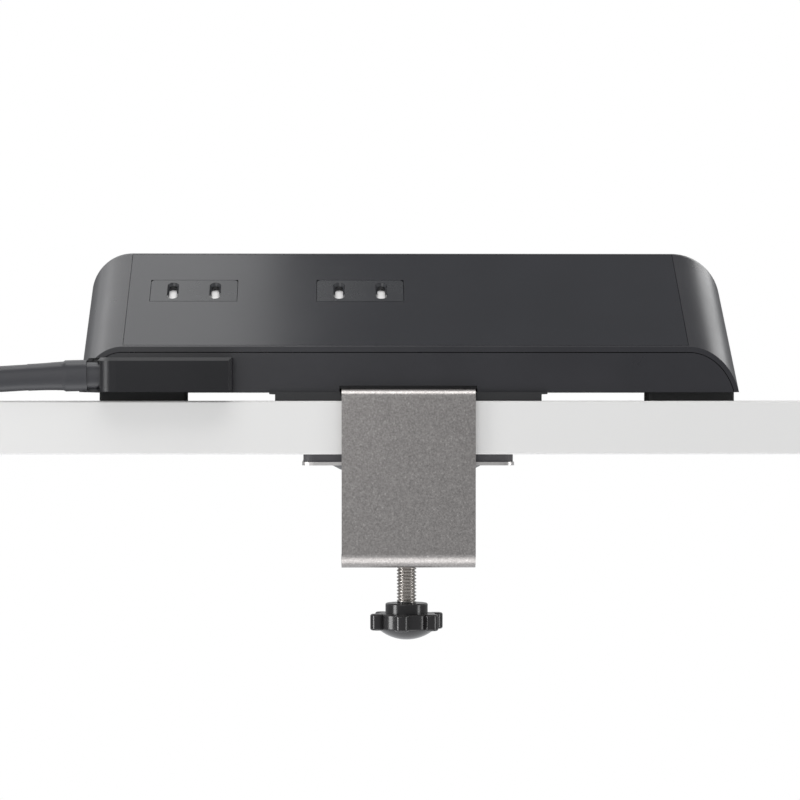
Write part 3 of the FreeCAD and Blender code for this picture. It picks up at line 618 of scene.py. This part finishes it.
def makePlug(v, line):
    bm = bmesh.new()
    loftSections(bm, v["corner"], v["sections"])
    toMetres(bm)
    heading = (line[-1] - line[-4]).normalized()
    turn = Matrix.Rotation(math.atan2(heading.y, heading.x), 3, "Z")
    bmesh.ops.rotate(bm, verts=bm.verts[:], matrix=turn)
    bmesh.ops.translate(bm, verts=bm.verts[:], vec=line[-1])
    piece = meshPiece("plugShell", bm, finishes["plug"])
    softenEdges(piece, v["edge"], 2, 30.0)
    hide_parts("plug_body")
    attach(piece, "strip")
    return piece


plugShell = makePlug(plugValues, cordLine)


tieValues = {"inner": 34.708, "outer": 56.092, "low": 0.8, "high": 16.2, "wide": 6.0, "thick": 0.72,
             "corner": 2.4, "angle": 75.0, "edge": 0.0002}


def makeTie(v, centre):
    bm = bmesh.new()
    roundedFrame(bm, v["outer"] - v["inner"] + v["thick"], v["high"] - v["low"] + v["thick"], v["corner"], 5)
    turnAll(bm, 90.0, "X")
    made = bmesh.ops.extrude_edge_only(bm, edges=bm.edges[:])["geom"]
    bmesh.ops.translate(bm, verts=[g for g in made if isinstance(g, bmesh.types.BMVert)],
                        vec=(0.0, v["wide"], 0.0))
    bmesh.ops.translate(bm, verts=bm.verts[:],
                        vec=((v["inner"] + v["outer"]) / 2, -v["wide"] / 2, (v["low"] + v["high"]) / 2))
    bmesh.ops.recalc_face_normals(bm, faces=bm.faces[:])
    turnAll(bm, v["angle"], "Z")
    bmesh.ops.translate(bm, verts=bm.verts[:], vec=(centre[0], centre[1], 0.0))
    toMetres(bm)
    piece = meshPiece("coilTie", bm, finishes["tie"])
    wall = piece.modifiers.new("wall", "SOLIDIFY")
    wall.thickness = v["thick"] / 1000.0
    wall.offset = 0.0
    softenEdges(piece, v["edge"], 2, 50.0)
    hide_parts("cord_tie")
    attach(piece, "strip")
    return piece


coilTie = makeTie(tieValues, cordValues["coilCentre"])
print("stage 5: sleeves, plug and tie made")


screwValues = {"radius": 2.95, "root": 2.42, "pitch": 1.0, "neck": 2.2, "neckTop": -19.0, "shoulder": -25.4,
               "threadTop": -25.9, "threadEnd": -60.9, "bottom": -67.0, "groove": (-21.2, -20.4, 1.7),
               "steps": 24, "crest": 0.14, "chamfer": 0.2, "cone": 0.25, "tip": 0.3, "sunk": 0.03,
               "axis": 0.0001, "sharpFrom": 38.0}


def addRod(bm, sections, segments=40):
    # a turned rod: an outline edge chain spun round the axis
    chain = [bm.verts.new((radius, 0.0, z)) for radius, z in sections]
    edges = [bm.edges.new(pair) for pair in zip(chain, chain[1:])]
    bmesh.ops.spin(bm, geom=chain + edges, cent=(0, 0, 0), axis=(0, 0, 1), angle=2 * math.pi, steps=segments,
                   use_merge=True)


def makeThread(v):
    bm = bmesh.new()
    low, high, deep = v["groove"]
    addRod(bm, [(v["axis"], v["neckTop"]), (v["neck"] - v["chamfer"], v["neckTop"]),
                (v["neck"], v["neckTop"] - v["chamfer"]), (v["neck"], high), (deep, high), (deep, low),
                (v["neck"], low), (v["neck"], v["shoulder"]), (v["root"], v["shoulder"] - v["cone"]),
                (v["root"], v["bottom"] + v["tip"]), (v["root"] - v["tip"], v["bottom"]),
                (v["axis"], v["bottom"])])
    bmesh.ops.remove_doubles(bm, verts=bm.verts[:], dist=0.001)
    turns = int((v["threadTop"] - v["threadEnd"]) / v["pitch"])
    top, inside = v["threadTop"], v["root"] - v["sunk"]
    shape = [(inside, 0.0), (v["radius"], -v["pitch"] / 2 + v["crest"] / 2),
             (v["radius"], -v["pitch"] / 2 - v["crest"] / 2), (inside, -v["pitch"])]
    chain = [bm.verts.new((radius, 0.0, top + z)) for radius, z in shape]
    edges = [bm.edges.new(pair) for pair in zip(chain, chain[1:])]
    before = set(bm.verts) - set(chain)
    bmesh.ops.spin(bm, geom=chain + edges, cent=(0, 0, 0), axis=(0, 0, 1), angle=2 * math.pi * turns,
                   steps=v["steps"] * turns, dvec=(0, 0, -v["pitch"] / v["steps"]))
    ridge = [vert for vert in bm.verts if vert not in before]
    for vert in ridge:  # the thread runs out over its first and last half turn
        away = min(top - vert.co.z, vert.co.z - (top - turns * v["pitch"] - v["pitch"]))
        reach = math.hypot(vert.co.x, vert.co.y)
        if reach > inside + 0.01 and away < v["pitch"]:
            share = max(0.0, away / v["pitch"])
            aim = inside + (reach - inside) * share
            bmesh.ops.scale(bm, verts=[vert], vec=(aim / reach, aim / reach, 1.0))
    bmesh.ops.remove_doubles(bm, verts=bm.verts[:], dist=0.0005)
    bmesh.ops.recalc_face_normals(bm, faces=bm.faces[:])
    toMetres(bm)
    piece = meshPiece("threadedScrew", bm, finishes["zinc"])
    piece.data.set_sharp_from_angle(angle=math.radians(v["sharpFrom"]))
    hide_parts("clamp_screw")
    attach(piece, "screw")
    return piece


threadedScrew = makeThread(screwValues)
print("stage 6: screw thread cut,", len(threadedScrew.data.polygons), "faces")


faceValues = {
    "rear": {"y": -22.0, "slope": 33.6, "side": 1, "up": 31.3},
    "user": {"y": 56.45, "slope": 57.0, "side": -1, "up": 18.0},
    "lip": 15.85, "outlets": (-63.9, -13.9), "ports": (34.0, 56.0), "slotGap": 12.7,
}


def facePlace(row, x, up):
    # from a face's own frame (X along, Y up the slope, Z out) into the model's, in mm
    v = faceValues[row]
    place = Matrix.Translation((0.0, v["y"], faceValues["lip"]))
    if v["side"] < 0:
        place = place @ Matrix.Rotation(math.pi, 4, "Z")
    place = place @ Matrix.Rotation(math.radians(v["slope"]), 4, "X")
    return place @ Matrix.Translation((x * v["side"], up, 0.0))


funnelValues = {"mouth": (3.3, 9.1, -0.02), "middle": (2.85, 8.5, -0.42), "throat": (2.31, 7.81, -0.86),
                "segments": 12}


def slotRing(bm, width, length, height, segments):
    # a slot-shaped ring: a circle whose halves are pulled apart
    ring = bmesh.ops.create_circle(bm, cap_ends=False, radius=width / 2, segments=segments * 2)["verts"]
    for vert in ring:
        if abs(vert.co.y) > 1e-6:
            vert.co.y += math.copysign((length - width) / 2, vert.co.y)
        vert.co.z = height
    return list({edge for vert in ring for edge in vert.link_edges})


def makeFunnels(v):
    bm = bmesh.new()
    for row in ("rear", "user"):
        for x in faceValues["outlets"]:
            for side in (-1, 1):
                before = set(bm.verts)
                rings = [slotRing(bm, *v[key], v["segments"]) for key in ("mouth", "middle", "throat")]
                for upper, lower in zip(rings, rings[1:]):
                    bmesh.ops.bridge_loops(bm, edges=upper + lower)
                fresh = [vert for vert in bm.verts if vert not in before]
                place = facePlace(row, x, faceValues[row]["up"])
                place = place @ Matrix.Translation((side * faceValues["slotGap"] / 2, 0.0, 0.0))
                bmesh.ops.transform(bm, matrix=place, verts=fresh)
    toMetres(bm)
    # the lips take the lighter finish: painted sheen for the glints at the tops of the slots
    piece = meshPiece("slotFunnels", bm, finishes["funnelPaintedSheen"])
    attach(piece, "strip")


makeFunnels(funnelValues)

contactValues = {"count": 4, "across": 2.0, "wide": 1.0, "long": 6.4, "thick": 0.12, "middle": -4.6,
                 "under": 0.17, "edge": 0.05}


def makePortContacts(v):
    # gilt spring contacts along each port's tongue
    bm = bmesh.new()
    for name in ("usb_tongue_a", "usb_tongue_b"):
        low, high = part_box(name)
        x = (low[0] + high[0]) * 500.0
        place = facePlace("user", x, faceValues["user"]["up"])
        for number in range(v["count"]):
            before = set(bm.verts)
            bmesh.ops.create_cube(bm, size=1.0)
            fresh = [vert for vert in bm.verts if vert not in before]
            bmesh.ops.scale(bm, verts=fresh, vec=(v["wide"], v["thick"], v["long"]))
            bmesh.ops.translate(bm, verts=fresh, vec=((number - (v["count"] - 1) / 2) * v["across"],
                                                     v["under"], v["middle"]))
            edges = list({edge for vert in fresh for edge in vert.link_edges})
            bmesh.ops.bevel(bm, geom=edges, offset=v["edge"], offset_type="OFFSET", segments=1, profile=0.5,
                            affect="EDGES", material=-1)
            fresh = [vert for vert in bm.verts if vert not in before]
            bmesh.ops.transform(bm, matrix=place, verts=fresh)
    toMetres(bm)
    piece = meshPiece("portContacts", bm, finishes["gilt"], smooth=False)
    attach(piece, "strip")


makePortContacts(contactValues)
print("stage 7: slot funnels and port contacts made")


deskValues = {"left": -0.60, "right": 0.60, "front": -0.0240, "back": 0.42, "top": -0.00003,
              "bottom": -0.01566, "edge": 0.0006, "colour": (0.655, 0.648, 0.636), "rough": 0.5}


def stageFinish(name, colour, rough):
    material, tree, shader, place = startMaterial(name)
    link = tree.links.new
    tone = useGroup(tree, "tone", Scale=12.0, Dark=rgba(colour, 0.985), Light=rgba(colour, 1.01),
                    Speck=rgba(colour, 0.9), Specks=0.2)
    marks = useGroup(tree, "handling", Scale=20.0, Low=rough - 0.05, High=rough + 0.05)
    for node in (tone, marks):
        link(place, node.inputs["Vector"])
    link(tone.outputs["Color"], shader.inputs["Base Color"])
    link(marks.outputs["Value"], shader.inputs["Roughness"])
    return material


def makeDesk(v):
    bm = bmesh.new()
    bmesh.ops.create_cube(bm, size=1.0)
    bmesh.ops.scale(bm, verts=bm.verts[:], vec=(v["right"] - v["left"], v["back"] - v["front"],
                                               v["top"] - v["bottom"]))
    bmesh.ops.translate(bm, verts=bm.verts[:], vec=((v["right"] + v["left"]) / 2, (v["back"] + v["front"]) / 2,
                                                   (v["top"] + v["bottom"]) / 2))
    desk = meshPiece("deskBoard", bm, stageFinish("deskLaminate", v["colour"], v["rough"]), smooth=False)
    softenEdges(desk, v["edge"], 3)


lampValues = {
    "aboveLeft": {
        "place": (-0.36, 0.20, 0.46), "aim": (-0.36, 0.10, 0.0),
        "size": (0.62, 0.50), "power": 1.55},
    "above": {
        "place": (0.05, -0.28, 0.80), "aim": (0.0, 0.0, 0.0),
        "size": (1.0, 0.5), "power": 5.2},
    "belowFront": {
        "place": (0.0, -0.45, -0.70), "aim": (0.0, 0.0, 0.0),
        "size": (1.0, 0.6), "power": 3.0},
    "frontLeft": {
        "place": (-0.22, -0.46, 0.09), "aim": (-0.22, 0.0, 0.09),
        "size": (0.36, 0.20), "power": 0.28},
    "left": {
        "place": (-0.62, 0.62, 0.52), "aim": (-0.05, 0.0, 0.02),
        "size": (0.6, 0.4), "power": 0.42},
    "right": {
        "place": (0.62, 0.70, 0.52), "aim": (0.05, 0.0, 0.02),
        "size": (0.6, 0.4), "power": 1.55},
    "leftSide": {
        "place": (-0.62, -0.26, -0.03), "aim": (-0.05, 0.0, -0.03),
        "size": (0.20, 0.34), "power": 1.8},
    "rightSide": {
        "place": (0.62, -0.24, -0.05), "aim": (0.0, 0.0, -0.05),
        "size": (0.16, 0.34), "power": 0.8},
}


def makeLamp(name, v):
    data = bpy.data.lights.new(name, "AREA")
    data.shape = "RECTANGLE"
    data.size, data.size_y = v["size"]
    data.energy = v["power"]
    lamp = linkObject(name, data)
    lamp.visible_camera = False
    lamp.location = v["place"]
    lamp.rotation_euler = (Vector(v["aim"]) - Vector(v["place"])).to_track_quat("-Z", "Y").to_euler()


worldValues = {
    "mirroredShare": 0.15,   # how much of the background the metal and glass show
    # brightness against height of the direction, from -1 straight down to 1 straight up
    "levels": [(-1, 1.0), (-0.35, 0.906), (-0.08, 0.224), (0, 0.176), (0.10, 0.153),
               (0.26, 0.41), (0.45, 0.47), (0.66, 0.32), (0.92, 0.247), (1, 0.47)],
    "tint": (0.95, 0.97, 1.0, 1.0), "background": 1.0,
}


def makeWorld(v):
    world = bpy.data.worlds.new("studio")
    bpy.context.scene.world = world
    world.use_nodes = True
    tree = world.node_tree
    tree.nodes.clear()
    link = tree.links.new
    place = tree.nodes.new("ShaderNodeTexCoord")
    split = tree.nodes.new("ShaderNodeSeparateXYZ")
    ranged = addNode(tree, "ShaderNodeMapRange")   # heights from -1 to 1 become 0 to 1
    ranged.inputs["From Min"].default_value = -1.0
    ramp = tree.nodes.new("ShaderNodeValToRGB")
    ramp.color_ramp.interpolation = "EASE"
    stops = ramp.color_ramp.elements
    for index, (height, level) in enumerate(v["levels"]):
        stop = stops[index] if index < 2 else stops.new(1.0)
        stop.position = height / 2 + 0.5
        stop.color = (level, level, level, 1.0)
    soft = tree.nodes.new("ShaderNodeBackground")
    plain = tree.nodes.new("ShaderNodeBackground")
    plain.inputs["Color"].default_value = (1.0, 1.0, 1.0, 1.0)
    plain.inputs["Strength"].default_value = v["background"]
    soft.inputs["Color"].default_value = v["tint"]
    rays = tree.nodes.new("ShaderNodeLightPath")
    mix = tree.nodes.new("ShaderNodeMixShader")
    out = tree.nodes.new("ShaderNodeOutputWorld")
    link(place.outputs["Generated"], split.inputs["Vector"])
    link(split.outputs["Z"], ranged.inputs["Value"])
    link(ranged.outputs["Result"], ramp.inputs["Fac"])
    link(ramp.outputs["Color"], soft.inputs["Strength"])
    mirrored = addNode(tree, "ShaderNodeMath", operation="ADD")
    link(rays.outputs["Is Glossy Ray"], mirrored.inputs[0])
    link(rays.outputs["Is Transmission Ray"], mirrored.inputs[1])
    share = addNode(tree, "ShaderNodeMath", operation="MULTIPLY")
    share.inputs[1].default_value = v["mirroredShare"]
    link(mirrored.outputs[0], share.inputs[0])
    either = addNode(tree, "ShaderNodeMath", operation="MAXIMUM")
    link(rays.outputs["Is Camera Ray"], either.inputs[0])
    link(share.outputs[0], either.inputs[1])
    link(either.outputs[0], mix.inputs["Fac"])
    link(soft.outputs["Background"], mix.inputs[1])
    link(plain.outputs["Background"], mix.inputs[2])
    link(mix.outputs["Shader"], out.inputs["Surface"])


makeDesk(deskValues)
for lampName, values in lampValues.items():
    makeLamp(lampName + "Lamp", values)
makeWorld(worldValues)
bpy.context.scene.view_settings.view_transform = "Standard"
print("stage 8: desk, lamps and world made")
